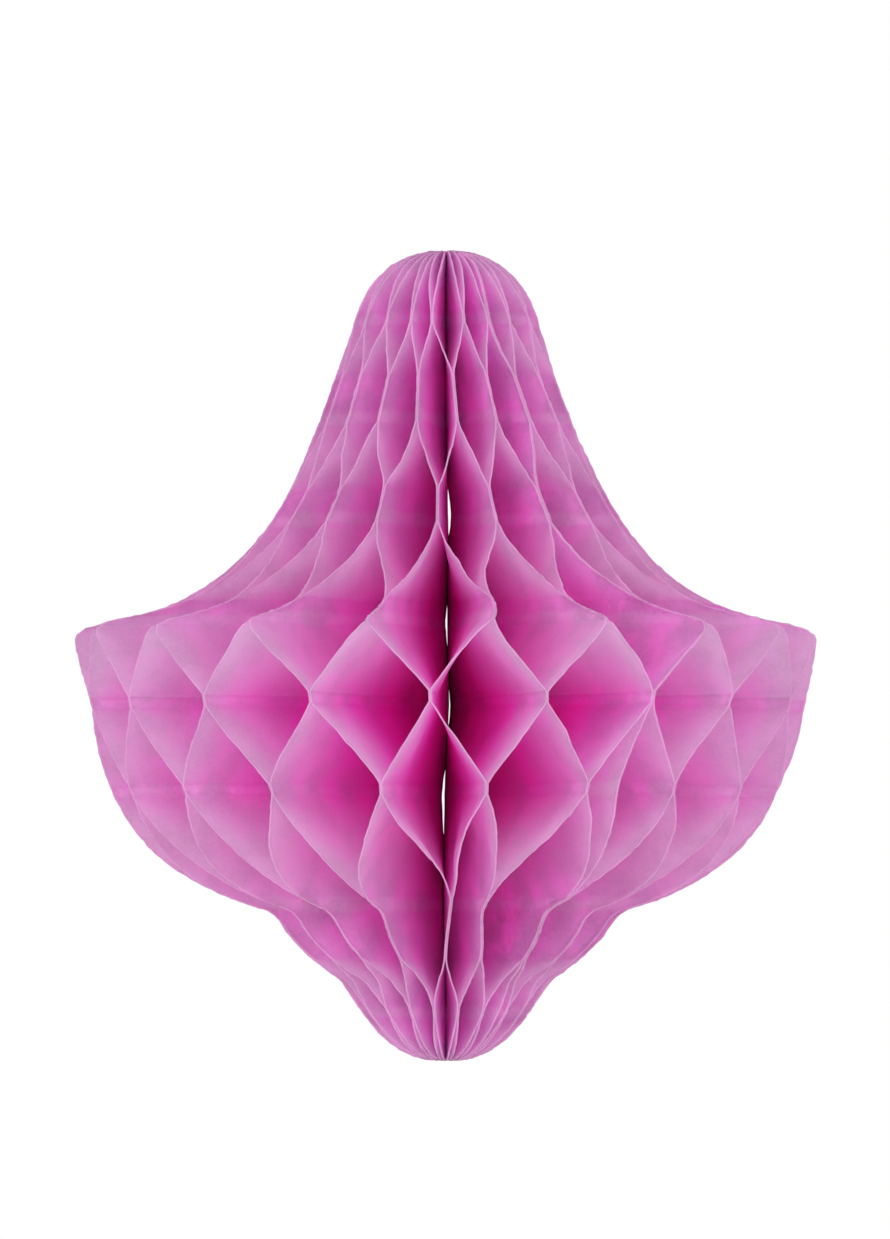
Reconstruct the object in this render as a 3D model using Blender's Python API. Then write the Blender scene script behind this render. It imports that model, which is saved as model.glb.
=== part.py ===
"""Honeycomb paper bell: tissue sheets fanned round a spine thread, opened to a full turn.

Every sheet carries the outline of half a bell. Each is stuck to the sheet on one side along the even rows of
glue strips, and to the sheet on its other side along the odd ones. Opened all the way round, the pack becomes rows
of diamond cells. Lengths are in metres, +Z is up, and the origin is where the bell hangs from, at the top of
its spine. Angles round the spine start at the front, at -Y, and grow towards +X.
"""

import math

import bpy
import numpy as np

# The pack: how many sheets, how thick each is, the gap that stands for the glue, and how much more room than
# it needs each pair has at the core.
SHEET_COUNT = 39
PAPER = 0.00012
PAPER_GAP = 0.00005
CORE_ROOM = 1.8

# The outline of a sheet: how deep each of its stretches is, and the radius where the stretch ends. The flats
# at the top and the tip are how far the sheet reaches past its inner edge there.
TOP_FLAT = 0.0025
CROWN_DEPTH, CROWN_RADIUS = 0.0250, 0.0295
SIDE_DEPTH, SIDE_RADIUS = 0.0705, 0.0640
FLARE_DEPTH, RIM_RADIUS = 0.0225, 0.1148
RIM_ROUNDING = 0.0018
RIM_ROUNDING_DEPTH = 0.0030
BOWL_DEPTH, NOTCH_RADIUS = 0.0826, 0.0565
LOBE_DEPTH, TIP_RING_RADIUS = 0.0219, 0.0325
TIP_DEPTH = 0.0245
TIP_FLAT = 0.0020

# The rows of glue strips: how far the rim's row lies above the rim's corner, how far apart the rows are on
# the flat sheet, how high a strip is, and how softly a wall bends between two strips.
RIM_ROW_LIFT = 0.0053
FLAT_PITCH = 0.0328
GLUE_WIDTH = 0.0034
WALL_CURL = 0.35

# Where the pack's two ends meet. The last sheet is held to the first as far as one row below the rim's. At
# the next row it swings past its own strip, and lower down it hangs near it.
SEAM_ANGLE = math.radians(39.7)
SEAM_HELD_BELOW_RIM = 1
SEAM_HANG = 1.75
SEAM_LOOSE_END = 0.4

# The crown's cells stand a little turned on the seam's side, because the pack was opened by hand.
CROWN_TURN = math.radians(5.0)
CROWN_TURN_CENTRE = math.radians(18.0)
CROWN_TURN_SPREAD = math.radians(34.0)
CROWN_TURN_DROP = 0.055

# The thread that binds the inner edges.
THREAD_RADIUS = 0.0005
THREAD_SIDES = 8
STITCH_CLEARANCE = 0.0003
STITCH_HEIGHT = 0.0016

# How far the facets may stray from the curves, and how finely the curves are read.
FACET_TOLERANCE = 0.00055
SAMPLE_STEP = 0.0004

PAPER_COLOUR = (0.72, 0.14, 0.43, 1.0)
THREAD_COLOUR = (0.78, 0.30, 0.54, 1.0)

STEP_ANGLE = 2 * math.pi / (SHEET_COUNT - 1)
PAIR_PITCH = PAPER + PAPER_GAP
CORE_RADIUS = CORE_ROOM * PAIR_PITCH / STEP_ANGLE
FULL_DROP = (CROWN_DEPTH + SIDE_DEPTH + FLARE_DEPTH + RIM_ROUNDING_DEPTH + BOWL_DEPTH + LOBE_DEPTH
             + TIP_DEPTH)


def clear_objects():
    """Takes every object out of the file that this script runs in."""
    for item in list(bpy.data.objects):
        bpy.data.objects.remove(item, do_unlink=True)


def principled(name, colour, roughness):
    """One matte material."""
    made = bpy.data.materials.new(name)
    made.use_nodes = True
    shader = made.node_tree.nodes["Principled BSDF"]
    shader.inputs["Base Color"].default_value = colour
    shader.inputs["Roughness"].default_value = roughness
    shader.inputs["Metallic"].default_value = 0.0
    made.diffuse_color = colour
    return made


def outline_stretches():
    """Each stretch of the outline: how deep, where it ends, and its two handles as shares of its own box."""
    return [
        (CROWN_DEPTH, CROWN_RADIUS, (0.30, 0.01), (0.81, 0.18)),
        (SIDE_DEPTH, SIDE_RADIUS, (0.29, 0.43), (0.53, 0.755)),
        (FLARE_DEPTH, RIM_RADIUS - RIM_ROUNDING, (0.41, 0.92), (0.93, 0.80)),
        (RIM_ROUNDING_DEPTH, RIM_RADIUS, (0.55, 0.02), (1.0, 0.45)),
        (BOWL_DEPTH, NOTCH_RADIUS, (0.12, 0.44), (0.17, 0.84)),
        (LOBE_DEPTH, TIP_RING_RADIUS, (0.33, 0.17), (0.09, 0.33)),
        (TIP_DEPTH, CORE_RADIUS + TIP_FLAT, (0.19, 0.31), (0.45, 0.98)),
    ]


def make_outline(points_per_stretch=40):
    """Drops and radii along the whole outline, from the top to the tip."""
    drops, radii = [0.0], [CORE_RADIUS + TOP_FLAT]
    shares = np.linspace(0.0, 1.0, points_per_stretch)[1:]
    for depth, end_radius, first, second in outline_stretches():
        start_drop, start_radius = drops[-1], radii[-1]
        along = 3 * (1 - shares) ** 2 * shares
        late = 3 * (1 - shares) * shares ** 2
        across_share = along * first[0] + late * second[0] + shares ** 3
        down_share = along * first[1] + late * second[1] + shares ** 3
        radii.extend(start_radius + across_share * (end_radius - start_radius))
        drops.extend(start_drop + down_share * depth)
    return np.array(drops), np.array(radii)


OUTLINE_DROPS, OUTLINE_RADII = make_outline()


def outer_radius(drop):
    """How far a sheet reaches from the axis at this drop below the top."""
    return float(np.interp(drop, OUTLINE_DROPS, OUTLINE_RADII))


def next_row(drop, way):
    """The next glue row up or down. Paper doesn't stretch: what a wall spends sideways it lacks in height."""
    height = FLAT_PITCH
    for _ in range(8):
        sideways = outer_radius(drop + way * height / 2) * STEP_ANGLE
        height = math.sqrt(max(FLAT_PITCH ** 2 - sideways ** 2, (FLAT_PITCH / 2) ** 2))
    return drop + way * height


def glue_rows():
    """Drops of the glue rows, laid out both ways from the one at the rim, and which of them that one is."""
    rim_row = CROWN_DEPTH + SIDE_DEPTH + FLARE_DEPTH + RIM_ROUNDING_DEPTH - RIM_ROW_LIFT
    above, below = [next_row(rim_row, -1)], [next_row(rim_row, 1)]
    while above[-1] > GLUE_WIDTH:
        above.append(next_row(above[-1], -1))
    while below[-1] < FULL_DROP - GLUE_WIDTH:
        below.append(next_row(below[-1], 1))
    return above[-2::-1] + [rim_row] + below[:-1], len(above) - 1


ROWS, RIM_ROW = glue_rows()


def regular_swing(row):
    """Where a sheet stands on a glue row, from 1 on even rows to -1 on odd ones. The rim's is an odd one."""
    return -1.0 if (row - RIM_ROW) % 2 == 0 else 1.0


def loose_swing(row):
    """The same for the last sheet, which hangs free below the last row that holds it to the first sheet."""
    below_held = row - RIM_ROW - SEAM_HELD_BELOW_RIM
    if below_held <= 0:
        return regular_swing(row)
    if below_held == 1:
        return SEAM_HANG
    return 1.0 if below_held == 2 else SEAM_LOOSE_END


def swing_at(drop, row_swing):
    """A sheet's swing at a drop: flat along a glue strip, and a soft S between two strips."""
    row = sum(1 for place in ROWS if place <= drop) - 1
    start = ROWS[row] + GLUE_WIDTH / 2 if row >= 0 else ROWS[0] - FLAT_PITCH
    end = ROWS[row + 1] - GLUE_WIDTH / 2 if row + 1 < len(ROWS) else ROWS[-1] + FLAT_PITCH
    share = min(max((drop - start) / (end - start), 0.0), 1.0)
    eased = (1 - WALL_CURL) * share + WALL_CURL * share * share * (3 - 2 * share)
    before, after = row_swing(row), row_swing(row + 1)
    return before + (after - before) * eased


def simplify(points, tolerance):
    """Indices of the points that a polyline needs to stay within the tolerance."""
    kept = {0, len(points) - 1}
    spans = [(0, len(points) - 1)]
    while spans:
        first, last = spans.pop()
        if last - first < 2:
            continue
        chord = points[last] - points[first]
        offsets = points[first + 1:last] - points[first]
        along = np.clip(offsets @ chord / (chord @ chord), 0.0, 1.0)
        distances = np.linalg.norm(offsets - np.outer(along, chord), axis=1)
        worst = int(np.argmax(distances))
        if distances[worst] > tolerance:
            middle = first + 1 + worst
            kept.add(middle)
            spans += [(first, middle), (middle, last)]
    return sorted(kept)


def levels_for(row_swing):
    """The drops at which a sheet needs a row of points: where its edge bends, inwards or sideways."""
    edges = [row + side * GLUE_WIDTH / 2 for row in ROWS for side in (-1, 1)]
    drops = np.unique(np.concatenate([np.arange(0.0, FULL_DROP, SAMPLE_STEP), edges, [FULL_DROP]]))
    radii = np.interp(drops, OUTLINE_DROPS, OUTLINE_RADII)
    swings = np.array([swing_at(drop, row_swing) for drop in drops])
    edge = np.column_stack([drops, radii, radii * swings * STEP_ANGLE / 2])
    return [float(drops[index]) for index in simplify(edge, FACET_TOLERANCE)]


def sheet_levels(number):
    """A sheet's levels. The two sheets that lie against each other at the seam share theirs."""
    if number in (1, SHEET_COUNT):
        return sorted(set(levels_for(regular_swing) + levels_for(loose_swing)))
    return levels_for(regular_swing)


def hand_turn(angle, drop):
    """How far the crown's cells stand turned from their even places."""
    from_centre = (angle - CROWN_TURN_CENTRE + math.pi) % (2 * math.pi) - math.pi
    near = math.exp(-((from_centre / CROWN_TURN_SPREAD) ** 2))
    high = math.exp(-((drop / CROWN_TURN_DROP) ** 2))
    return -CROWN_TURN * near * high


def sheet_lines(number, levels, row_swing):
    """For each level, the sheet's angle and its shift sideways from the plane through the axis."""
    even = 1.0 if number % 2 == 0 else -1.0
    base = SEAM_ANGLE + (number - 1) * STEP_ANGLE
    lines = []
    for drop in levels:
        swing = swing_at(drop, row_swing)
        angle = base + even * swing * STEP_ANGLE / 2
        shift = -even * swing * PAIR_PITCH / 2
        if number == 1:
            shift = PAIR_PITCH * (0.5 + swing)
        elif number == SHEET_COUNT:
            shift = PAIR_PITCH * (min(swing, 1.0) - 0.5)
        lines.append((angle + hand_turn(angle, drop), shift))
    return lines


def make_sheet(number, material):
    """One sheet as a closed solid: two faces, an inner and an outer edge, and two ends."""
    row_swing = loose_swing if number == SHEET_COUNT else regular_swing
    levels = sheet_levels(number)
    points = []
    for drop, (angle, shift) in zip(levels, sheet_lines(number, levels, row_swing)):
        outwards = (math.sin(angle), -math.cos(angle))
        sideways = (math.cos(angle), math.sin(angle))
        for radius in (CORE_RADIUS, outer_radius(drop)):
            for side in (-1, 1):
                offset = shift + side * PAPER / 2
                x = outwards[0] * radius + sideways[0] * offset
                y = outwards[1] * radius + sideways[1] * offset
                points.append((x, y, -drop))
    faces = [(0, 2, 3, 1)]
    for level in range(len(levels) - 1):
        inner_left, inner_right, outer_left, outer_right = range(4 * level, 4 * level + 4)
        low_inner_left, low_inner_right, low_outer_left, low_outer_right = range(4 * level + 4, 4 * level + 8)
        faces += [(inner_left, low_outer_left, outer_left), (inner_left, low_inner_left, low_outer_left)]
        faces += [(inner_right, outer_right, low_outer_right), (inner_right, low_outer_right, low_inner_right)]
        faces += [(outer_left, low_outer_right, outer_right), (outer_left, low_outer_left, low_outer_right)]
        faces += [(inner_left, low_inner_right, low_inner_left), (inner_left, inner_right, low_inner_right)]
    last = 4 * (len(levels) - 1)
    faces.append((last, last + 1, last + 3, last + 2))
    return add_object(f"sheet_{number:02d}", points, faces, material)


def add_object(name, points, faces, material):
    """A mesh object with one material."""
    mesh = bpy.data.meshes.new(name)
    mesh.from_pydata(points, [], faces)
    mesh.materials.append(material)
    mesh.validate()
    item = bpy.data.objects.new(name, mesh)
    bpy.context.scene.collection.objects.link(item)
    return item


def make_thread(material):
    """The binding thread: it runs down the axis and is thicker where a stitch holds the inner edges."""
    stitch_radius = max(CORE_RADIUS - STITCH_CLEARANCE, THREAD_RADIUS)
    profile = [(THREAD_RADIUS, 0.0)]
    for drop in ROWS:
        profile += [(THREAD_RADIUS, drop - STITCH_HEIGHT), (stitch_radius, drop - STITCH_HEIGHT / 4)]
        profile += [(stitch_radius, drop + STITCH_HEIGHT / 4), (THREAD_RADIUS, drop + STITCH_HEIGHT)]
    profile.append((THREAD_RADIUS, FULL_DROP))
    turn = 2 * math.pi / THREAD_SIDES
    points = [(radius * math.sin(turn * side), -radius * math.cos(turn * side), -drop)
              for radius, drop in profile for side in range(THREAD_SIDES)]
    faces = [tuple(range(THREAD_SIDES))]
    for ring in range(len(profile) - 1):
        for side in range(THREAD_SIDES):
            here, beside = ring * THREAD_SIDES + side, ring * THREAD_SIDES + (side + 1) % THREAD_SIDES
            faces.append((here, here + THREAD_SIDES, beside + THREAD_SIDES, beside))
    last = THREAD_SIDES * (len(profile) - 1)
    faces.append(tuple(range(last + THREAD_SIDES - 1, last - 1, -1)))
    thread = add_object("spine_thread", points, faces, material)
    thread.data.shade_smooth()
    return thread


clear_objects()
paper = principled("pink_tissue", PAPER_COLOUR, 0.85)
cotton = principled("pink_cotton", THREAD_COLOUR, 0.8)
for sheet_number in range(1, SHEET_COUNT + 1):
    make_sheet(sheet_number, paper)
make_thread(cotton)
print("sheets", SHEET_COUNT, "rows", [round(row, 4) for row in ROWS], "height", round(FULL_DROP, 4))
print("triangles", sum(len(item.data.loop_triangles) or sum(len(face.vertices) - 2 for face in item.data.polygons)
                       for item in bpy.data.objects))
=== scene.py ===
# %% [markdown]
# # A honeycomb paper bell
#
# Tissue sheets are cut together to the outline of half a bell, stuck to one another along staggered strips
# and bound along one edge. When the pack is opened right round, the strips pull every sheet into a zigzag,
# and the bell's skin becomes rows of diamond cells. This script cuts each sheet flat, as thin closed paper,
# and folds it with geometry nodes.

import math

import bmesh
import bpy
import numpy as np
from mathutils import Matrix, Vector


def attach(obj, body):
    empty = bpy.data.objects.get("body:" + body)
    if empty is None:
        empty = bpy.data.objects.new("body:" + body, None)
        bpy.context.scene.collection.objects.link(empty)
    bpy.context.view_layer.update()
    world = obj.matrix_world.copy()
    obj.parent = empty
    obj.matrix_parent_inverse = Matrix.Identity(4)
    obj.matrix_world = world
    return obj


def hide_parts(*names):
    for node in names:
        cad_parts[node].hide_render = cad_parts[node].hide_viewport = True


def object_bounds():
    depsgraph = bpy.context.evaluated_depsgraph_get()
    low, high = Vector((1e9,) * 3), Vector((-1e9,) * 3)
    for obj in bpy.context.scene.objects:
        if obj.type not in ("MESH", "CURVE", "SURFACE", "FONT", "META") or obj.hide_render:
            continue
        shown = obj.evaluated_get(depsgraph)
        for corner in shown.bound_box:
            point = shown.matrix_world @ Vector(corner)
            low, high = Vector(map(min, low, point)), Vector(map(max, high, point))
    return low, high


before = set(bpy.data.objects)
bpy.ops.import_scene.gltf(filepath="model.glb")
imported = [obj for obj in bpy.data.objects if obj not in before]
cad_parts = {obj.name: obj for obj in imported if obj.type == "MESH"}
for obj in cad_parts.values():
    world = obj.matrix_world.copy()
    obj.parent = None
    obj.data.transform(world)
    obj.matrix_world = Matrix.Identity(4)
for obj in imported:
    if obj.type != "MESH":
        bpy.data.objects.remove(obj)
CAD_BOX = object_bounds()
SHEET_NAMES = sorted(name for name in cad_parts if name.startswith("sheet_"))
SHEET_COUNT = len(SHEET_NAMES)
STEP_ANGLE = 2 * math.pi / (SHEET_COUNT - 1)
FULL_DROP = -CAD_BOX[0][2]
print("sheets:", SHEET_COUNT, "height:", round(FULL_DROP, 4))

# %% [markdown]
# ## The outline
#
# On the real bell one cutting die gives every sheet the same edge: a domed crown, a long side that flares
# into a thin rim, a round bowl, and the two lobes of the clapper. It could be traced point by point, but a
# few curve stretches, each with its depth, its end and two handles, say the same and stay easy to change.

# %% The outline as curve stretches
TOP_RADIUS = 0.0040
TIP_RADIUS = 0.0032
STRETCHES = [
    (0.0250, 0.0295, (0.30, 0.01), (0.81, 0.18)),
    (0.0705, 0.0640, (0.29, 0.43), (0.53, 0.755)),
    (0.0225, 0.1130, (0.41, 0.92), (0.93, 0.80)),
    (0.0030, 0.1148, (0.55, 0.02), (1.0, 0.45)),
    (0.0826, 0.0565, (0.12, 0.44), (0.17, 0.84)),
    (0.0219, 0.0325, (0.33, 0.17), (0.09, 0.33)),
    (0.0245, TIP_RADIUS, (0.19, 0.31), (0.45, 0.98)),
]


def trace_outline(points_per_stretch=60):
    """Drops below the top and radii, read closely along every stretch."""
    drops, radii = [0.0], [TOP_RADIUS]
    share = np.linspace(0.0, 1.0, points_per_stretch)[1:]
    early = 3 * (1 - share) ** 2 * share
    late = 3 * (1 - share) * share ** 2
    for depth, end_radius, first, second in STRETCHES:
        start_drop, start_radius = drops[-1], radii[-1]
        outward = early * first[0] + late * second[0] + share ** 3
        downward = early * first[1] + late * second[1] + share ** 3
        radii.extend(start_radius + outward * (end_radius - start_radius))
        drops.extend(start_drop + downward * depth)
    return np.array(drops), np.array(radii)


OUTLINE_DROPS, OUTLINE_RADII = trace_outline()
RIM_RADIUS = float(OUTLINE_RADII.max())
RIM_DROP = float(OUTLINE_DROPS[OUTLINE_RADII.argmax()])
print("rim radius:", round(RIM_RADIUS, 4), "at drop", round(RIM_DROP, 4))

# %% [markdown]
# ## The rows of glue strips
#
# On the flat pack the strips are evenly spaced. Opened, the rows come closer where the bell is wide, because
# paper doesn't stretch: a wall that goes a long way sideways to its next strip has less height left. The
# photo's rows don't quite keep that rule. Below the rim they are up to 3.8 mm off, and why isn't known, so
# each row is worked out from the rule and then shifted to where the photo has it.

# %% Rows from the rim, both ways
FLAT_PITCH = 0.0328
GLUE_WIDTH = 0.0034
RIM_ROW_LIFT = 0.0053
ROW_ROUNDS = 8
ROW_SHIFTS = [0.0012, -0.0004, -0.0008, 0.0, -0.0021, -0.0026, 0.0026, 0.0038]


def outer_radius(drop):
    return np.interp(drop, OUTLINE_DROPS, OUTLINE_RADII)


def next_row(drop, way):
    """The next row up (way -1) or down (way 1): the height that the flat pitch leaves."""
    height = FLAT_PITCH
    for _ in range(ROW_ROUNDS):
        sideways = outer_radius(drop + way * height / 2) * STEP_ANGLE
        height = math.sqrt(FLAT_PITCH ** 2 - sideways ** 2)
    return drop + way * height


def glue_rows():
    rim_row = RIM_DROP - RIM_ROW_LIFT
    above, below = [next_row(rim_row, -1)], [next_row(rim_row, 1)]
    while above[-1] > GLUE_WIDTH:
        above.append(next_row(above[-1], -1))
    while below[-1] < FULL_DROP - GLUE_WIDTH:
        below.append(next_row(below[-1], 1))
    return above[-2::-1] + [rim_row] + below[:-1], len(above) - 1


EVEN_ROWS, RIM_ROW = glue_rows()
ROWS = [row + shift for row, shift in zip(EVEN_ROWS, ROW_SHIFTS)]
print("rows:", [round(row, 4) for row in ROWS])

# %% [markdown]
# ## How a sheet swings between its neighbours
#
# At one row a sheet is stuck to the sheet on its left, at the next row to the one on its right. Its swing
# goes from 1 to -1 and back, flat along each strip and as a soft S between them. In the narrow crown and
# clapper two sheets also cling together beside their strip. The pack's last sheet is held to the first one
# only down to the row below the rim. From there it hangs loose, and its edge is one more line in a cell.

# %% Swing of a regular sheet and of the loose one
WALL_CURL = 0.15
CLING_BELOW = {6: 0.50}
CLING_ABOVE = {1: 0.42, 2: 0.27, 3: 0.16}
SEAM_HELD_BELOW_RIM = 1
SEAM_HANG = 1.75
SEAM_LOOSE_END = 0.4


def regular_swing(row):
    return -1.0 if (row - RIM_ROW) % 2 == 0 else 1.0


def loose_swing(row):
    below_held = row - RIM_ROW - SEAM_HELD_BELOW_RIM
    if below_held <= 0:
        return regular_swing(row)
    if below_held == 1:
        return SEAM_HANG
    return 1.0 if below_held == 2 else SEAM_LOOSE_END


def swing_at(drop, row_swing):
    """The swing at a height, eased from the row above it to the row below it."""
    row = sum(1 for place in ROWS if place <= drop) - 1
    start = ROWS[row] + GLUE_WIDTH / 2 if row >= 0 else ROWS[0] - FLAT_PITCH
    end = ROWS[row + 1] - GLUE_WIDTH / 2 if row + 1 < len(ROWS) else ROWS[-1] + FLAT_PITCH
    early, late = CLING_BELOW.get(row, 0.0), CLING_ABOVE.get(row + 1, 0.0)
    share = ((drop - start) / (end - start) - early) / (1 - early - late)
    share = min(max(share, 0.0), 1.0)
    eased = (1 - WALL_CURL) * share + WALL_CURL * share * share * (3 - 2 * share)
    return row_swing(row) + (row_swing(row + 1) - row_swing(row)) * eased


print("swings at the rows:", [round(swing_at(row, regular_swing), 2) for row in ROWS])
print("swings of the loose sheet:", [round(swing_at(row, loose_swing), 2) for row in ROWS])

# %% [markdown]
# ## Where the spine gapes and leans
#
# The inner edges are stitched together, and between the stitches they part in a few places, so that slits of
# light show through the bell. A slit could be cut out of the sheets one by one. It is easier to say once how
# far the inner edges stand off the axis at each height, and the slit opens by itself between all of them.

# %% The inner edge
PINCHED_RADIUS = 0.0003
# Every gape: its middle, half its length, and how far it opens to each side.
GAPES = [
    (0.0808, 0.0060, 0.0030),
    (0.1165, 0.0054, 0.0018),
    (0.1412, 0.0054, 0.0016),
    (0.1700, 0.0092, 0.0034),
]
GAPE_SHARPNESS = 4
SPINE_LEANS = [0.0, 0.0, 0.0008, 0.0003, 0.0010, -0.0006, -0.0006, 0.0]


def gapes_at(drop):
    """What each gape adds at a height to the way from the axis to the inner edge."""
    return [gap * np.exp(-((drop - middle) / half) ** GAPE_SHARPNESS) for middle, half, gap in GAPES]


def spine_lean(drop):
    """How far the spine lies to the right of the axis, pulled over between one row and the next."""
    return np.interp(drop, [0.0] + ROWS + [FULL_DROP], [0.0] + SPINE_LEANS + [0.0])


print("gapes (mm):", [round(sum(gapes_at(middle)) * 2000, 2) for middle, _, _ in GAPES])

# %% [markdown]
# ## Levels and columns
#
# The sheet needs points where it bends and where it is seen close up. So its levels are evenly spaced along
# the cut edge, which gives the flare as many as the side, and its columns crowd together at both edges. The
# cut edge of tissue is a little fluffed up. Here it is thicker than in life, so that its pale line shows.

# %% Levels down the sheet and columns across it
LEVEL_STEP = 0.0017
COLUMNS = 17
COLUMN_CROWDING = 1.25
EDGE_COLUMNS = np.array([0.0022, 0.0011, 0.0005, 0.0002, 0.0])
WIDEST_EDGE_SHARE = 0.4
LEVEL_DIGITS = 6
PAPER = 0.00007
FLUFF = 0.00042
FLUFF_REACH = 0.00060


def card_levels():
    """Drops at even steps along the cut edge, and at the ends of every strip."""
    steps = np.hypot(np.diff(OUTLINE_DROPS), np.diff(OUTLINE_RADII))
    length = np.concatenate([[0.0], np.cumsum(steps)])
    wanted = np.linspace(0.0, length[-1], int(length[-1] / LEVEL_STEP) + 1)
    drops = np.interp(wanted, length, OUTLINE_DROPS)
    strip_ends = [row + side * GLUE_WIDTH / 2 for row in ROWS for side in (-1, 1)]
    return np.unique(np.concatenate([drops, strip_ends]).round(LEVEL_DIGITS))


def distance_to_edge(radii, drops):
    """The shortest way from each point of the sheet to its cut edge."""
    edge = np.column_stack([OUTLINE_RADII, OUTLINE_DROPS])
    points = np.column_stack([radii, drops])
    found = np.full(len(points), 1.0)
    for start, end in zip(edge[:-1], edge[1:]):
        way = end - start
        share = np.clip((points - start) @ way / (way @ way), 0.0, 1.0)
        found = np.minimum(found, np.linalg.norm(points - start - share[:, None] * way, axis=1))
    return found


LEVELS = card_levels()
INNER_ENDS = PINCHED_RADIUS + sum(gapes_at(LEVELS))
WIDTHS = outer_radius(LEVELS) - INNER_ENDS
EDGE_BAND = np.minimum(EDGE_COLUMNS, WIDTHS[:, None] * WIDEST_EDGE_SHARE * EDGE_COLUMNS / EDGE_COLUMNS[0])
INNER_SHARES = np.linspace(0.0, 1.0, COLUMNS)[:-1] ** COLUMN_CROWDING
INNER_PART = INNER_SHARES * (WIDTHS[:, None] - EDGE_BAND[:, :1])
REACHES = np.concatenate([INNER_PART, WIDTHS[:, None] - EDGE_BAND], axis=1) + INNER_ENDS[:, None]
ROW_POINTS = REACHES.shape[1]
DROPS = np.repeat(LEVELS[:, None], ROW_POINTS, axis=1)
EDGE_DISTANCE = distance_to_edge(REACHES.ravel(), DROPS.ravel()).reshape(REACHES.shape)
STRIP_DISTANCE = np.min([np.abs(DROPS - row) for row in ROWS], axis=0)
THICKNESS = PAPER + FLUFF * np.exp(-(EDGE_DISTANCE / FLUFF_REACH) ** 2)
print("levels:", len(LEVELS), "points across:", ROW_POINTS)

# %% [markdown]
# ## Cutting a sheet
#
# A sheet could be a surface with a Solidify modifier. Here it is cut as a thin closed card instead, with a
# front, a back and a strip of faces all round, so that its thickness can grow at the edge. Each point also
# keeps facts that the folding and the colour need: the swing at its height, where it lies in the pack, and
# how far it is from the cut edge and from the nearest strip.

# %% The card and its facts
def card_faces():
    """Both sides of the card, and the strip of faces that closes it all round."""
    rows, columns = REACHES.shape
    place = np.arange(rows * columns).reshape(rows, columns)
    far = rows * columns
    faces = []
    for upper, lower in zip(place[:-1], place[1:]):
        for corners in zip(upper[:-1], upper[1:], lower[1:], lower[:-1]):
            faces.append(corners)
            faces.append(tuple(corner + far for corner in corners[::-1]))
    ring = [*place[0], *place[1:, -1], *place[-1, -2::-1], *place[-2:0:-1, 0]]
    for here, beside in zip(ring, ring[1:] + ring[:1]):
        faces.append((here, here + far, beside + far, beside))
    return faces


CARD_FACES = card_faces()


def lie_in_pack(number, swing):
    """How many sheets' thickness a sheet lies to the side of its plane through the spine."""
    if number == 1:
        return 0.5 + swing
    if number == SHEET_COUNT:
        return np.minimum(swing, 1.0) - 0.5
    return swing * (-0.5 if number % 2 == 0 else 0.5)


def cut_card(number):
    """One flat sheet: X is the way out from the spine, Y the thickness, and Z the height."""
    row_swing = loose_swing if number == SHEET_COUNT else regular_swing
    swing = np.repeat([swing_at(drop, row_swing) for drop in LEVELS], ROW_POINTS)
    sides = [np.stack([REACHES, side * THICKNESS / 2, -DROPS], axis=-1).reshape(-1, 3) for side in (1, -1)]
    mesh = bpy.data.meshes.new(f"tissue_sheet_{number:02d}")
    mesh.from_pydata(np.concatenate(sides).tolist(), [], CARD_FACES)
    facts = {
        "swing": swing,
        "lie": lie_in_pack(number, swing),
        "lean": np.repeat(spine_lean(LEVELS), ROW_POINTS),
        "thick": THICKNESS.ravel(),
        "edge": EDGE_DISTANCE.ravel(),
        "inner": (REACHES - INNER_ENDS[:, None]).ravel(),
        "strip": STRIP_DISTANCE.ravel(),
    }
    for name, values in facts.items():
        fact = mesh.attributes.new(name, "FLOAT", "POINT")
        fact.data.foreach_set("value", np.tile(values, 2).astype(np.float32))
    return mesh


print("faces of a card:", len(CARD_FACES), "longest way to the edge:", round(float(EDGE_DISTANCE.max()), 4))

# %% [markdown]
# ## Small helpers for node trees
#
# A node tree can be drawn by hand in Blender's editors. Written in a script, it reads better when each node
# is a function that takes numbers or sockets and gives a socket back, so that a tree reads like a formula.
# The same helpers serve geometry trees and shader trees.

# %% Helpers for node trees
NOISE_GAIN = 4.0
PLAIN_NOISE, FINE_NOISE = 1.0, 2.0


def put(tree, socket, value):
    """Links a socket to an input, or sets a plain value on it."""
    if isinstance(value, bpy.types.NodeSocket):
        tree.links.new(value, socket)
    else:
        socket.default_value = value


def calc(tree, operation, *values):
    """A Math node's result."""
    node = tree.nodes.new("ShaderNodeMath")
    node.operation = operation
    for socket, value in zip(node.inputs, values):
        put(tree, socket, value)
    return node.outputs[0]


def total(tree, *values):
    result = values[0]
    for value in values[1:]:
        result = calc(tree, "ADD", result, value)
    return result


def product(tree, *values):
    result = values[0]
    for value in values[1:]:
        result = calc(tree, "MULTIPLY", result, value)
    return result


def ramp(tree, value, low, high, low_out=0.0, high_out=1.0):
    """A smooth step of a value from one level to another."""
    node = tree.nodes.new("ShaderNodeMapRange")
    node.interpolation_type = "SMOOTHSTEP"
    given = {"Value": value, "From Min": low, "From Max": high, "To Min": low_out, "To Max": high_out}
    for name, level in given.items():
        put(tree, node.inputs[name], level)
    return node.outputs["Result"]


def join(tree, x, y, z):
    node = tree.nodes.new("ShaderNodeCombineXYZ")
    for socket, value in zip(node.inputs, (x, y, z)):
        put(tree, socket, value)
    return node.outputs[0]


def parts_of(tree, vector):
    node = tree.nodes.new("ShaderNodeSeparateXYZ")
    put(tree, node.inputs[0], vector)
    return node.outputs


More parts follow.
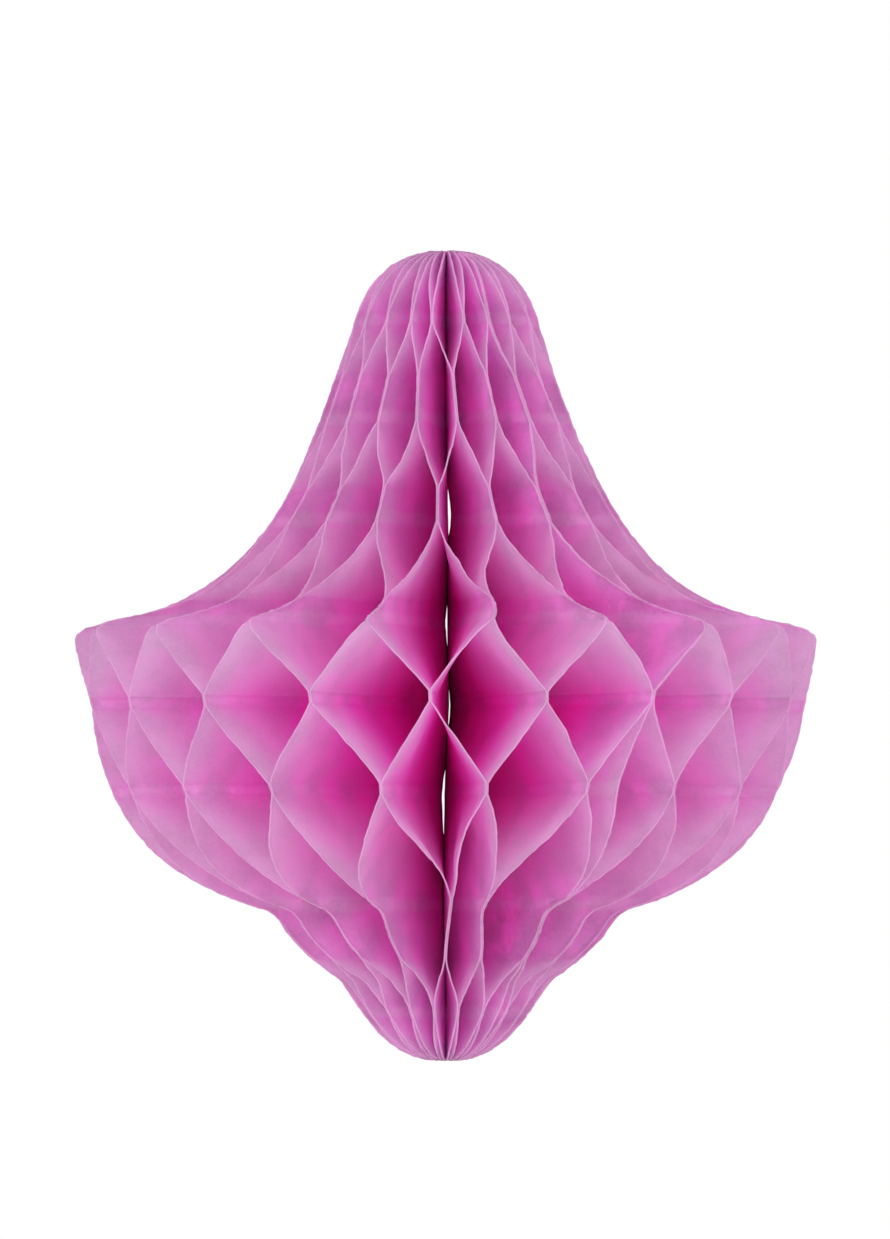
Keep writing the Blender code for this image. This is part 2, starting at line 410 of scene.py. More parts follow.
def noise(tree, vector, scale, seed, detail=FINE_NOISE):
    """A noise of the vector, another one for each seed."""
    shifted = tree.nodes.new("ShaderNodeVectorMath")
    put(tree, shifted.inputs[0], vector)
    put(tree, shifted.inputs[1], join(tree, seed, seed, 0.0))
    node = tree.nodes.new("ShaderNodeTexNoise")
    for name, value in (("Vector", shifted.outputs[0]), ("Scale", scale), ("Detail", detail)):
        put(tree, node.inputs[name], value)
    return node


def centred(tree, value):
    """A noise, which keeps near one half, spread out to run between about -1 and 1."""
    return product(tree, total(tree, value, -0.5), NOISE_GAIN)


def fact(tree, name):
    """One of the facts that the card's points keep."""
    node = tree.nodes.new("GeometryNodeInputNamedAttribute")
    node.data_type = "FLOAT"
    node.inputs["Name"].default_value = name
    return node.outputs["Attribute"]


print("noise runs from", -0.5 * NOISE_GAIN, "to", 0.5 * NOISE_GAIN, "at the very most")

# %% [markdown]
# ## The unevenness of a bell opened by hand
#
# Sheets that are stuck together have to move together. So the unevenness isn't given to a sheet: it bends
# the space round the spine that all the sheets share. A soft noise does a little of it everywhere. The marks
# do the rest, where cells are seen to be turned: each has its middle (angle and drop), how far it spreads
# round and down, and its turn, in degrees and metres.

# %% Bending the shared space
HAND_MARKS = [
    (54.0, 0.0120, 40.0, 0.0400, -12.0),
    (-5.0, 0.0120, 14.0, 0.0300, -5.0),
    (-31.0, 0.0120, 16.0, 0.0300, 3.0),
    (6.5, 0.1115, 6.0, 0.0055, 2.4),
    (58.0, 0.1555, 26.0, 0.0240, -4.0),
    (-12.0, 0.1555, 14.0, 0.0220, 1.8),
    (-6.0, 0.2000, 12.0, 0.0180, 4.5),
    (21.0, 0.2000, 12.0, 0.0180, -6.5),
    (-40.0, 0.2350, 34.0, 0.0180, 8.0),
]
UNEVEN_SCALE = 1.6
UNEVEN_STRETCH = 14.0


def round_the_bell(tree, angle, height, stretch):
    """A vector for a noise that runs round the bell without a seam."""
    return join(tree, calc(tree, "SINE", angle), calc(tree, "COSINE", angle), product(tree, height, stretch))


def hand_turn(tree, angle, height, mark):
    """How far one mark turns the paper: most at its middle, and less all round it."""
    middle, drop, spread_round, spread_down, turn = mark
    facing = calc(tree, "COSINE", total(tree, angle, -math.radians(middle)))
    near = product(tree, total(tree, facing, -1.0), 2.0 / math.radians(spread_round) ** 2)
    along = calc(tree, "DIVIDE", total(tree, height, drop), spread_down)
    fade = calc(tree, "EXPONENT", calc(tree, "SUBTRACT", near, product(tree, along, along)))
    return product(tree, fade, math.radians(turn))


def uneven_space(tree, take, angle, radius, height):
    """The turn and the lift of everything that is near one place."""
    place = round_the_bell(tree, angle, height, UNEVEN_STRETCH)
    uneven = noise(tree, place, UNEVEN_SCALE, take["Uneven Seed"], PLAIN_NOISE)
    turn_noise, lift_noise, _ = parts_of(tree, uneven.outputs["Color"])
    turn = product(tree, centred(tree, turn_noise), take["Uneven Turn"])
    turn = total(tree, turn, *[hand_turn(tree, angle, height, mark) for mark in HAND_MARKS])
    width = calc(tree, "DIVIDE", radius, RIM_RADIUS)
    return turn, product(tree, centred(tree, lift_noise), width, take["Uneven Height"])


print("marks of the hand:", len(HAND_MARKS))

# %% [markdown]
# ## Limp paper and worn edges
#
# Between its strips a sheet is free to sag and to keep a few creases from the pack. Stuck down it isn't, so
# the crumpling fades out toward the strips. The cut edge wanders a little, because tissue tears as the die
# goes through the pile. The inner edges wander together, which makes the slits in the spine ragged.

# %% Crumpling and tearing
FREE_POWER = 0.7
FREE_FROM_RADIUS, FREE_AT_RADIUS = 0.004, 0.050
SAG_SCALE = 38.0
CREASE_SCALE = 75.0
CREASE_SEED_STEP = 40.0
CREASE_MIDDLE = 0.08
CREASE_GAIN = 6.0
TEAR_SCALE = 100.0
TEAR_STRETCH = 3.0
TEAR_REACH = 0.0015
WEAR_SCALE = 1.5
WEAR_STRETCH = 180.0
WEAR_REACH = 0.0040


def crumple(tree, take, swing, radius, height):
    """How far a sheet is pushed out of its plane, where it is free of its neighbours."""
    held = calc(tree, "MINIMUM", calc(tree, "ABSOLUTE", swing), 1.0)
    free = calc(tree, "POWER", calc(tree, "SUBTRACT", 1.0, held), FREE_POWER)
    free = product(tree, free, ramp(tree, radius, FREE_FROM_RADIUS, FREE_AT_RADIUS))
    flat = join(tree, radius, 0.0, height)
    sag = noise(tree, flat, SAG_SCALE, take["Sheet Seed"], PLAIN_NOISE).outputs[0]
    sag = product(tree, centred(tree, sag), take["Sag"])
    crease = noise(tree, flat, CREASE_SCALE, total(tree, take["Sheet Seed"], CREASE_SEED_STEP)).outputs[0]
    crease = total(tree, calc(tree, "ABSOLUTE", total(tree, crease, -0.5)), -CREASE_MIDDLE)
    return product(tree, free, total(tree, sag, product(tree, crease, CREASE_GAIN, take["Crease"])))


def worn_edges(tree, take, angle, radius, height):
    """How far a point is moved outward and upward by tears and wear."""
    place = join(tree, calc(tree, "DIVIDE", radius, RIM_RADIUS), 0.0, product(tree, height, TEAR_STRETCH))
    tear = noise(tree, place, TEAR_SCALE, take["Sheet Seed"], PLAIN_NOISE)
    tear_out, tear_up, _ = parts_of(tree, tear.outputs["Color"])
    near_cut = ramp(tree, fact(tree, "edge"), 0.0, TEAR_REACH, 1.0, 0.0)
    near_cut = product(tree, near_cut, take["Ragged Edge"])
    worn = noise(tree, round_the_bell(tree, angle, height, WEAR_STRETCH), WEAR_SCALE, take["Uneven Seed"])
    near_spine = ramp(tree, fact(tree, "inner"), 0.0, WEAR_REACH, 1.0, 0.0)
    worn = product(tree, centred(tree, worn.outputs[0]), near_spine, take["Ragged Core"])
    outward = total(tree, product(tree, centred(tree, tear_out), near_cut), worn)
    return outward, product(tree, centred(tree, tear_up), near_cut)


print("sag every (mm):", round(1000 / SAG_SCALE))
print("tears every (mm):", round(1000 / TEAR_SCALE / TEAR_STRETCH, 1))

# %% [markdown]
# ## The fold
#
# The fold is one rule for all the sheets, so it is one node tree. Each point of the flat card turns to its
# angle round the spine: the sheet's own seat, and its swing times half the angle between two sheets. The
# offset of the card's two sides and the sheet's lie in the pack go across that angle.

# %% The folding tree
GLUE_FILM = 0.00002
LEAN_REACH = 0.040
FOLD_INPUTS = [
    ("Seat Angle", "NodeSocketFloat", 0.0),
    ("Hand", "NodeSocketFloat", 1.0),
    ("Step Angle", "NodeSocketFloat", STEP_ANGLE),
    ("Glue Film", "NodeSocketFloat", GLUE_FILM),
    ("Uneven Turn", "NodeSocketFloat", math.radians(0.6)),
    ("Uneven Height", "NodeSocketFloat", 0.0007),
    ("Uneven Seed", "NodeSocketFloat", 4.0),
    ("Sag", "NodeSocketFloat", 0.0011),
    ("Crease", "NodeSocketFloat", 0.00045),
    ("Ragged Edge", "NodeSocketFloat", 0.00028),
    ("Ragged Core", "NodeSocketFloat", 0.00080),
    ("Sheet Seed", "NodeSocketFloat", 1.0),
    ("Paper", "NodeSocketMaterial", None),
]
FOLD_VALUES = {title: value for title, _, value in FOLD_INPUTS}


def new_tree(name, inputs):
    """An empty geometry node tree with named inputs, and its two end nodes."""
    tree = bpy.data.node_groups.new(name, "GeometryNodeTree")
    tree.interface.new_socket("Geometry", in_out="INPUT", socket_type="NodeSocketGeometry")
    for title, kind, value in inputs:
        socket = tree.interface.new_socket(title, in_out="INPUT", socket_type=kind)
        if value is not None:
            socket.default_value = value
    tree.interface.new_socket("Geometry", in_out="OUTPUT", socket_type="NodeSocketGeometry")
    return tree, tree.nodes.new("NodeGroupInput"), tree.nodes.new("NodeGroupOutput")


def finish_tree(tree, geometry, material, out):
    """Makes copies real, gives everything its material, and hands it on."""
    real = tree.nodes.new("GeometryNodeRealizeInstances")
    put(tree, real.inputs[0], geometry)
    dressed = tree.nodes.new("GeometryNodeSetMaterial")
    put(tree, dressed.inputs["Geometry"], real.outputs[0])
    put(tree, dressed.inputs["Material"], material)
    put(tree, out.inputs[0], dressed.outputs[0])


def fold_tree():
    tree, given, out = new_tree("fold_a_sheet", FOLD_INPUTS)
    take = given.outputs
    radius, offset, height = parts_of(tree, tree.nodes.new("GeometryNodeInputPosition").outputs[0])
    swing = fact(tree, "swing")
    angle = total(tree, take["Seat Angle"], product(tree, take["Hand"], swing, take["Step Angle"], 0.5))
    turn, lift = uneven_space(tree, take, angle, radius, height)
    outward, upward = worn_edges(tree, take, angle, radius, height)
    pitch = total(tree, fact(tree, "thick"), take["Glue Film"])
    across = total(tree, offset, product(tree, fact(tree, "lie"), pitch))
    across = total(tree, across, crumple(tree, take, swing, radius, height))
    reach = total(tree, radius, outward)
    lean = product(tree, fact(tree, "lean"), ramp(tree, radius, 0.0, LEAN_REACH, 1.0, 0.0))
    turned = total(tree, angle, turn)
    sine, cosine = calc(tree, "SINE", turned), calc(tree, "COSINE", turned)
    x = total(tree, product(tree, sine, reach), product(tree, cosine, across), lean)
    y = calc(tree, "SUBTRACT", product(tree, sine, across), product(tree, cosine, reach))
    move = tree.nodes.new("GeometryNodeSetPosition")
    put(tree, move.inputs["Geometry"], take["Geometry"])
    put(tree, move.inputs["Position"], join(tree, x, y, total(tree, height, lift, upward)))
    finish_tree(tree, move.outputs[0], take["Paper"], out)
    return tree


def run_tree(name, mesh, tree, values):
    """Runs a tree on a mesh and keeps the result as a plain mesh object at the origin."""
    item = bpy.data.objects.new(name, mesh)
    bpy.context.scene.collection.objects.link(item)
    modifier = item.modifiers.new(tree.name, "NODES")
    modifier.node_group = tree
    for socket in tree.interface.items_tree:
        if socket.in_out == "INPUT" and socket.name in values:
            modifier[socket.identifier] = values[socket.name]
    made = bpy.data.meshes.new_from_object(item.evaluated_get(bpy.context.evaluated_depsgraph_get()))
    item.modifiers.remove(modifier)
    item.data = made
    made.name = name
    bpy.data.meshes.remove(mesh)
    return item


FOLD = fold_tree()
print("nodes in the folding tree:", len(FOLD.nodes))

# %% [markdown]
# ## Loose fibres
#
# Tissue is a thin felt of pulp fibres, cloudy where they lie thicker. The cotton thread has fibres too, only
# finer. One shader group serves both: it turns a place into two masks round one half and a height for bump.

# %% The fibre group
FIBRE_INPUTS = [
    ("Vector", "NodeSocketVector", None),
    ("Cloud Scale", "NodeSocketFloat", 90.0),
    ("Fibre Scale", "NodeSocketFloat", 900.0),
]
FIBRE_OUTPUTS = ["Cloud", "Fibre", "Height"]
CRINKLES_IN_A_CLOUD = 2.2
CLOUD_SEED, FIBRE_SEED, CRINKLE_SEED = 3.0, 8.0, 12.0


def fibre_group():
    group = bpy.data.node_groups.new("loose_fibres", "ShaderNodeTree")
    for title, kind, value in FIBRE_INPUTS:
        socket = group.interface.new_socket(title, in_out="INPUT", socket_type=kind)
        if value is not None:
            socket.default_value = value
    for title in FIBRE_OUTPUTS:
        group.interface.new_socket(title, in_out="OUTPUT", socket_type="NodeSocketFloat")
    take = group.nodes.new("NodeGroupInput").outputs
    give = group.nodes.new("NodeGroupOutput").inputs
    crinkle_scale = product(group, take["Cloud Scale"], CRINKLES_IN_A_CLOUD)
    cloud = noise(group, take["Vector"], take["Cloud Scale"], CLOUD_SEED)
    fibre = noise(group, take["Vector"], take["Fibre Scale"], FIBRE_SEED, PLAIN_NOISE)
    crinkle = noise(group, take["Vector"], crinkle_scale, CRINKLE_SEED)
    put(group, give["Cloud"], cloud.outputs[0])
    put(group, give["Fibre"], fibre.outputs[0])
    put(group, give["Height"], calc(group, "ABSOLUTE", total(group, crinkle.outputs[0], -0.5)))
    return group


FIBRES = fibre_group()
print("shader group:", FIBRES.name, "with", len(FIBRES.nodes), "nodes")

# %% [markdown]
# ## Tissue
#
# Dyed tissue is matte, and it lets light through. Where one layer has white light behind it, at the cut
# edges, it looks pale and bluish. Deep in a cell the light has gone from pink to pink, and only a strong
# magenta is left. On the real bell one dye does all of that. Here the light does a part, and the rest is
# painted, from pale at the cut edge to deep at the spine, in colours fitted to the photo. They take less
# from the light than paper does. Along a strip two layers lie together: each gets a root of its colour, so
# that the pair shows only a little darker. The fluffed edge has more fibres in a light's way, so it throws
# more back. Its narrow band is also painted a brighter pink: partly the fluff's own colour, partly a
# painted highlight along the cut edge. Crinkles too fine for the mesh are bump.

# %% The tissue material
TISSUE_DEEP = (0.999, 0.310, 0.865, 1.0)
TISSUE_MIDDLE = (0.996, 0.680, 0.937, 1.0)
TISSUE_PALE = (0.986, 0.760, 0.955, 1.0)
# The brighter pink of the narrow band along the cut edge: partly the fluff's own colour, partly a painted
# highlight.
TISSUE_FLUFF_AND_HIGHLIGHT = (1.000, 0.640, 0.940, 1.0)
PALE_TO_MIDDLE = (0.002, 0.017)
MIDDLE_TO_DEEP = (0.016, 0.056)
STRIP_BORDER = (0.0009, 0.0028)
STRIP_ROOT = 0.70
FLUFF_BORDER = (0.00005, 0.0006)
FLUFF_AND_HIGHLIGHT_SHARE = 0.6
CLOUD_SHIFTS_DEPTH = 0.003
CLOUD_SHIFTS_STRIP = 0.0005
CLOUD_STRENGTH = 0.035
FIBRE_STRENGTH = 0.12
SHARE_THROUGH = 0.85
FLUFF_SHARE_THROUGH = 0.55
TISSUE_ROUGHNESS = 0.85
TISSUE_SPECULAR = 0.1
CRINKLE_STRENGTH = 0.5
CRINKLE_HEIGHT = 0.0004
MIX_SHARE, MIX_FIRST, MIX_SECOND, MIX_RESULT = 0, 6, 7, 2
NOISE_DIM, NOISE_BRIGHT = 0.3, 0.7


def blend_colour(tree, share, first, second, kind="MIX"):
    node = tree.nodes.new("ShaderNodeMix")
    node.data_type = "RGBA"
    node.blend_type = kind
    for index, value in ((MIX_SHARE, share), (MIX_FIRST, first), (MIX_SECOND, second)):
        put(tree, node.inputs[index], value)
    return node.outputs[MIX_RESULT]


def attribute(tree, name):
    node = tree.nodes.new("ShaderNodeAttribute")
    node.attribute_name = name
    return node.outputs["Fac"]


def empty_material(name):
    made = bpy.data.materials.new(name)
    made.use_nodes = True
    made.node_tree.nodes.clear()
    return made, made.node_tree


def fibres_of(tree, **scales):
    """The fibre group on a piece's own coordinates, with other scales where they are given."""
    node = tree.nodes.new("ShaderNodeGroup")
    node.node_tree = FIBRES
    put(tree, node.inputs["Vector"], tree.nodes.new("ShaderNodeTexCoord").outputs["Object"])
    for name, value in scales.items():
        node.inputs[name.replace("_", " ").title()].default_value = value
    return node.outputs


def bumped(tree, height, strength, distance):
    node = tree.nodes.new("ShaderNodeBump")
    node.inputs["Strength"].default_value = strength
    node.inputs["Distance"].default_value = distance
    put(tree, node.inputs["Height"], height)
    return node.outputs[0]


def tissue_colour(tree, fibres):
    cloud = ramp(tree, fibres["Cloud"], NOISE_DIM, NOISE_BRIGHT, -1.0, 1.0)
    edge = attribute(tree, "edge")
    depth = total(tree, edge, product(tree, cloud, CLOUD_SHIFTS_DEPTH))
    colour = blend_colour(tree, ramp(tree, depth, *MIDDLE_TO_DEEP), TISSUE_MIDDLE, TISSUE_DEEP)
    colour = blend_colour(tree, ramp(tree, depth, *PALE_TO_MIDDLE), TISSUE_PALE, colour)
    # Painted light: along the strips each layer's colour is lifted to a root of itself, painted paler, so
    # that the shade of the two layers together shows only a little darker.
    strip = total(tree, attribute(tree, "strip"), product(tree, cloud, CLOUD_SHIFTS_STRIP))
    pair = tree.nodes.new("ShaderNodeGamma")
    put(tree, pair.inputs["Color"], colour)
    put(tree, pair.inputs["Gamma"], ramp(tree, strip, *STRIP_BORDER, STRIP_ROOT, 1.0))
    # The narrow band along the cut edge is blended to a brighter pink: partly the fluff's own colour, partly
    # a painted highlight.
    fluff_and_highlight = ramp(tree, edge, *FLUFF_BORDER, FLUFF_AND_HIGHLIGHT_SHARE, 0.0)
    colour = blend_colour(tree, fluff_and_highlight, pair.outputs[0], TISSUE_FLUFF_AND_HIGHLIGHT)
    grain = product(tree, total(tree, fibres["Fibre"], -0.5), FIBRE_STRENGTH)
    mottle = total(tree, 1.0, product(tree, cloud, CLOUD_STRENGTH), grain)
    return blend_colour(tree, 1.0, colour, join(tree, mottle, mottle, mottle), "MULTIPLY")


def tissue_material():
    made, tree = empty_material("pink_tissue_paper")
    fibres = fibres_of(tree)
    colour = tissue_colour(tree, fibres)
    face = tree.nodes.new("ShaderNodeBsdfPrincipled")
    face.inputs["Roughness"].default_value = TISSUE_ROUGHNESS
    face.inputs["Specular IOR Level"].default_value = TISSUE_SPECULAR
    put(tree, face.inputs["Base Color"], colour)
    put(tree, face.inputs["Normal"], bumped(tree, fibres["Height"], CRINKLE_STRENGTH, CRINKLE_HEIGHT))
    through = tree.nodes.new("ShaderNodeBsdfTranslucent")
    put(tree, through.inputs["Color"], colour)
    mixed = tree.nodes.new("ShaderNodeMixShader")
    share = ramp(tree, attribute(tree, "edge"), *FLUFF_BORDER, FLUFF_SHARE_THROUGH, SHARE_THROUGH)
    put(tree, mixed.inputs[0], share)
    put(tree, mixed.inputs[1], face.outputs[0])
    put(tree, mixed.inputs[2], through.outputs[0])
    out = tree.nodes.new("ShaderNodeOutputMaterial")
    put(tree, out.inputs["Surface"], mixed.outputs[0])
    return made


TISSUE = tissue_material()
print("tissue: pale within", PALE_TO_MIDDLE[1], "m of the cut edge, deep from", MIDDLE_TO_DEEP[1], "m")

# %% [markdown]
# ## Every sheet
#
# The pack is opened from the seam, at the front right, right round the spine. Every other sheet swings the
# other way. The last sheet lies on the first one and has the same crumples, so that they fit.

# %% Cut, fold and hang every sheet
SEAM_ANGLE = math.radians(39.7)
SEED_STEP = 3.7
CUBIC_MM = 1e9


def describe(item):
    """Prints triangles and volume: the volume is above zero where the faces point outward."""
    body = bmesh.new()
    body.from_mesh(item.data)
    triangles = sum(len(face.verts) - 2 for face in body.faces)
    volume = body.calc_volume(signed=True) * CUBIC_MM
    print(item.name, "triangles:", triangles, "volume (mm3):", round(volume, 1))
    body.free()


for name in SHEET_NAMES:
    number = int(name.split("_")[1])
    seed = 1 if number == SHEET_COUNT else number
    sheet = run_tree(f"tissue_{number:02d}", cut_card(number), FOLD, {
        **FOLD_VALUES,
        "Seat Angle": SEAM_ANGLE + (number - 1) * STEP_ANGLE,
        "Hand": 1.0 if number % 2 == 0 else -1.0,
        "Sheet Seed": seed * SEED_STEP,
        "Paper": TISSUE,
    })
    sheet.data.shade_smooth()
    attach(sheet, "root")
    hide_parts(name)
    if number in (1, 2, SHEET_COUNT):
        describe(sheet)

# %% [markdown]
# ## The thread
#
# The inner edges are bound with cotton: two strands laid round each other, with a few turns where it holds
# the sheets. Only slits of it show. A cord could be swept along a curve by hand, but the strands and the
# turns repeat all the way down, so nodes lay them along one line, and the line only says where it slackens.

# %% The thread's way down the spine
PATH_POINTS = 251
SLACK_SHARE = 0.45
SLACK_TURNS = [185.0, 350.0, 20.0, 200.0]


def thread_path():
    """From stitch to stitch the thread keeps to the spine, and in a gape it lies over to one side."""
    path = bpy.data.meshes.new("thread_path")
    drops = np.linspace(0.0, FULL_DROP, PATH_POINTS)
    slack = np.array(gapes_at(drops)) * SLACK_SHARE
    turns = np.radians(SLACK_TURNS)
    x = spine_lean(drops) + np.cos(turns) @ slack
    y = np.sin(turns) @ slack
    path.from_pydata(list(zip(x, y, -drops)), [(i, i + 1) for i in range(PATH_POINTS - 1)], [])
    stitched = np.zeros(PATH_POINTS, dtype=np.float32)
    for above, below in zip(ROWS[:-1], ROWS[1:]):
        stitched[np.abs(drops - (above + below) / 2).argmin()] = 1.0
    path.attributes.new("stitch", "FLOAT", "POINT").data.foreach_set("value", stitched)
    print("stitches:", int(stitched.sum()))
    return path


# %% [markdown]
# ## Laying the strands
#
# The line is read closely, and each strand is the same line pushed out to one side, further round at every
# height. The turns of each stitch are one short coil, copied to the points that are marked as stitches.

# %% The thread's tree
TUBE_SIDES = 6
COIL_POINTS_PER_TURN = 12
POINTS_PER_TWIST = 8
TWIST_LENGTH = 0.0014
THREAD_INPUTS = [
    ("Strand Radius", "NodeSocketFloat", 0.00012),
    ("Strand Way Out", "NodeSocketFloat", 0.00010),
    ("Twist Length", "NodeSocketFloat", TWIST_LENGTH),
    ("Stitch Turns", "NodeSocketFloat", 3.0),
    ("Stitch Radius", "NodeSocketFloat", 0.00062),
    ("Stitch Height", "NodeSocketFloat", 0.0012),
    ("Cotton", "NodeSocketMaterial", None),
]


def tube(tree, curve, profile):
    node = tree.nodes.new("GeometryNodeCurveToMesh")
    put(tree, node.inputs["Curve"], curve)
    put(tree, node.inputs["Profile Curve"], profile)
    node.inputs["Fill Caps"].default_value = True
    return node.outputs[0]


def strand(tree, take, line, height, half_turn):
    """The line, pushed out to one side that goes round and round on the way down."""
    phase = product(tree, calc(tree, "DIVIDE", height, take["Twist Length"]), 2 * math.pi)
    phase = total(tree, phase, half_turn)
    way_x = product(tree, calc(tree, "COSINE", phase), take["Strand Way Out"])
    way_y = product(tree, calc(tree, "SINE", phase), take["Strand Way Out"])
    node = tree.nodes.new("GeometryNodeSetPosition")
    put(tree, node.inputs["Geometry"], line)
    put(tree, node.inputs["Offset"], join(tree, way_x, way_y, 0.0))
    return node.outputs[0]


def thread_tree():
    tree, given, out = new_tree("lay_a_thread", THREAD_INPUTS)
    take = given.outputs
    profile = tree.nodes.new("GeometryNodeCurvePrimitiveCircle")
    profile.inputs["Resolution"].default_value = TUBE_SIDES
    put(tree, profile.inputs["Radius"], take["Strand Radius"])
    line = tree.nodes.new("GeometryNodeMeshToCurve")
    put(tree, line.inputs["Mesh"], take["Geometry"])
    fine = tree.nodes.new("GeometryNodeResampleCurve")
    fine.mode = "LENGTH"
    put(tree, fine.inputs["Curve"], line.outputs[0])
    put(tree, fine.inputs["Length"], product(tree, take["Twist Length"], 1 / POINTS_PER_TWIST))
    height = parts_of(tree, tree.nodes.new("GeometryNodeInputPosition").outputs[0])[2]
    everything = tree.nodes.new("GeometryNodeJoinGeometry")
    for half_turn in (0.0, math.pi):
        way = strand(tree, take, fine.outputs[0], height, half_turn)
        tree.links.new(tube(tree, way, profile.outputs[0]), everything.inputs[0])
    coil = tree.nodes.new("GeometryNodeCurveSpiral")
    coil.inputs["Resolution"].default_value = COIL_POINTS_PER_TURN
    put(tree, coil.inputs["Rotations"], take["Stitch Turns"])
    put(tree, coil.inputs["Start Radius"], take["Stitch Radius"])
    put(tree, coil.inputs["End Radius"], take["Stitch Radius"])
    put(tree, coil.inputs["Height"], take["Stitch Height"])
    copies = tree.nodes.new("GeometryNodeInstanceOnPoints")
    put(tree, copies.inputs["Points"], take["Geometry"])
    put(tree, copies.inputs["Selection"], fact(tree, "stitch"))
    put(tree, copies.inputs["Instance"], tube(tree, coil.outputs[0], profile.outputs[0]))
    tree.links.new(copies.outputs[0], everything.inputs[0])
    finish_tree(tree, everything.outputs[0], take["Cotton"], out)
    return tree


THREAD_TREE = thread_tree()
print("twists down the spine:", round(FULL_DROP / TWIST_LENGTH))

# %% [markdown]
# ## Cotton
#
# Cotton is duller than silk and a little hairy. The same fibre group makes it streaky, and a thin sheen
# stands for the loose hairs, which would be far too many to model on a thread of a quarter of a millimetre.

# %% Cotton, and the thread itself
THREAD_PINK = (0.90, 0.48, 0.72, 1.0)
COTTON_ROUGHNESS = 0.8
COTTON_SHEEN = 0.2
COTTON_BUMP, COTTON_HEIGHT = 0.4, 0.0001
DARKEST_FIBRE, LIGHTEST_FIBRE = 0.82, 1.08
COTTON_CLOUD_SCALE, COTTON_FIBRE_SCALE = 400.0, 4000.0


def cotton_material():
    made, tree = empty_material("pink_cotton_thread")
    fibres = fibres_of(tree, cloud_scale=COTTON_CLOUD_SCALE, fibre_scale=COTTON_FIBRE_SCALE)
    shade = ramp(tree, fibres["Fibre"], NOISE_DIM, NOISE_BRIGHT, DARKEST_FIBRE, LIGHTEST_FIBRE)
    face = tree.nodes.new("ShaderNodeBsdfPrincipled")
    face.inputs["Roughness"].default_value = COTTON_ROUGHNESS
    face.inputs["Sheen Weight"].default_value = COTTON_SHEEN
    colour = blend_colour(tree, 1.0, THREAD_PINK, join(tree, shade, shade, shade), "MULTIPLY")
    put(tree, face.inputs["Base Color"], colour)
    put(tree, face.inputs["Normal"], bumped(tree, fibres["Height"], COTTON_BUMP, COTTON_HEIGHT))
    out = tree.nodes.new("ShaderNodeOutputMaterial")
    put(tree, out.inputs["Surface"], face.outputs[0])
    return made


THREAD_VALUES = {title: value for title, _, value in THREAD_INPUTS}
THREAD_VALUES["Cotton"] = cotton_material()
thread = run_tree("binding_thread", thread_path(), THREAD_TREE, THREAD_VALUES)
thread.data.shade_smooth()
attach(thread, "root")
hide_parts("spine_thread")
describe(thread)

# %% [markdown]
# ## The white room
#
# The bell hangs in an evenly lit white room, so the sky does most of the work. It is plain white where the
# camera looks at it, and dimmer where it lights the paper. Light goes through a great many layers of tissue
# before it leaves the cells, so it is followed further than usual: with few bounces they would turn black.

# %% Sky and bounces
SKY_LIGHT = 0.66
SKY_SEEN = 1.0
LIGHT_BOUNCES = 24


def white_sky():
    world = bpy.data.worlds.new("white_room")
    world.use_nodes = True
    tree = world.node_tree
    tree.nodes.clear()
    ray = tree.nodes.new("ShaderNodeLightPath").outputs
    # A ray that tissue scattered on its way through counts as both, and it is lighting, not seeing.
    clear = calc(tree, "SUBTRACT", ray["Is Transmission Ray"], ray["Is Diffuse Ray"])
    seen = calc(tree, "MAXIMUM", calc(tree, "MAXIMUM", ray["Is Camera Ray"], ray["Is Glossy Ray"]), clear)
    sky = tree.nodes.new("ShaderNodeBackground")
    sky.inputs["Color"].default_value = (1.0, 1.0, 1.0, 1.0)
    put(tree, sky.inputs["Strength"], ramp(tree, seen, 0.0, 1.0, SKY_LIGHT, SKY_SEEN))
    out = tree.nodes.new("ShaderNodeOutputWorld")
    put(tree, out.inputs["Surface"], sky.outputs[0])
    bpy.context.scene.world = world


white_sky()
bpy.context.scene.cycles.max_bounces = LIGHT_BOUNCES
bpy.context.scene.cycles.diffuse_bounces = LIGHT_BOUNCES
bpy.context.scene.cycles.transmission_bounces = LIGHT_BOUNCES
print("sky light:", SKY_LIGHT, "bounces:", LIGHT_BOUNCES)

# %% [markdown]
# ## Two wide lamps
#
# A sky alone would flatten the cells. One wide lamp high on the left gives the walls a lighter and a darker
# side, and a weaker one low on the right stands for the light that a pale room throws back up.

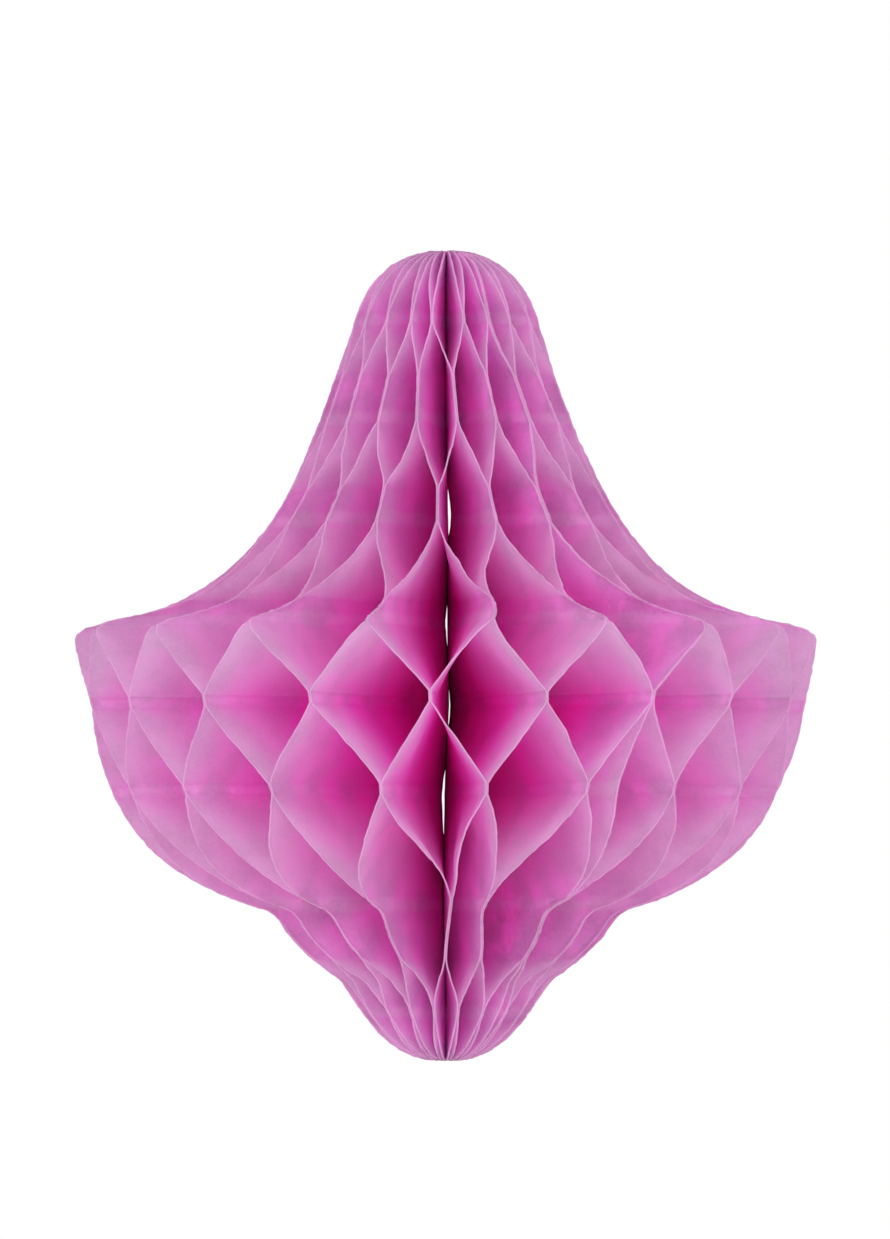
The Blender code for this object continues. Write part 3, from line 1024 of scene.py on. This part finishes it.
# %% Lamps
LAMP_SIZE = 1.6
LAMP_TARGET = (0.0, 0.0, -0.13)
LAMPS = {
    "left_lamp": ((-1.5, -2.2, 0.5), 13.0),
    "right_lamp": ((1.0, -2.3, -0.7), 10.0),
}


def look_at(item, target):
    """Turns a camera or a lamp so that it looks at a point."""
    way = np.array(target) - np.array(item.location)
    item.rotation_euler = (math.acos(-way[2] / np.linalg.norm(way)), 0.0, math.atan2(-way[0], way[1]))


for name, (place, power) in LAMPS.items():
    light = bpy.data.lights.new(name, "AREA")
    light.shape = "DISK"
    light.size = LAMP_SIZE
    light.energy = power
    lamp = bpy.data.objects.new(name, light)
    bpy.context.scene.collection.objects.link(lamp)
    lamp.location = place
    look_at(lamp, LAMP_TARGET)
    print(name, "power:", power)

# %% [markdown]
# ## Camera
#
# The picture was taken from far off with a long lens, at the height of the clapper: rows on the front
# stand slightly higher than the same rows at the sides. The distance comes from how much higher.

# %% Camera
METRES_PER_PIXEL = 0.000309
IMAGE_WIDTH, IMAGE_HEIGHT = 890, 1239
EYE_ROW, TOP_ROW = 930, 251
AXIS_COLUMN = 446
DISTANCE_PIXELS = 9000
FAR_CLIP = 20.0

camera_data = bpy.data.cameras.new("camera")
camera = bpy.data.objects.new("camera", camera_data)
bpy.context.scene.collection.objects.link(camera)
camera.location = (0.0, -DISTANCE_PIXELS * METRES_PER_PIXEL, (TOP_ROW - EYE_ROW) * METRES_PER_PIXEL)
middle_x = (IMAGE_WIDTH / 2 - AXIS_COLUMN) * METRES_PER_PIXEL
middle_z = (TOP_ROW - IMAGE_HEIGHT / 2) * METRES_PER_PIXEL
look_at(camera, (middle_x, 0.0, middle_z))
camera_data.lens = camera_data.sensor_width * DISTANCE_PIXELS / IMAGE_HEIGHT
camera_data.clip_end = FAR_CLIP
bpy.context.scene.camera = camera
bpy.context.scene.view_settings.view_transform = "Standard"
print("lens (mm):", round(camera_data.lens), "distance (m):", round(DISTANCE_PIXELS * METRES_PER_PIXEL, 2))

# %% [markdown]
# ## The box of the solids
#
# The box round the solids, taken when they were loaded, is printed. The dressed bell has to keep to
# the size of the solids.

# %% The box of the solids
print("cad box:", [[round(v, 4) for v in corner] for corner in CAD_BOX])
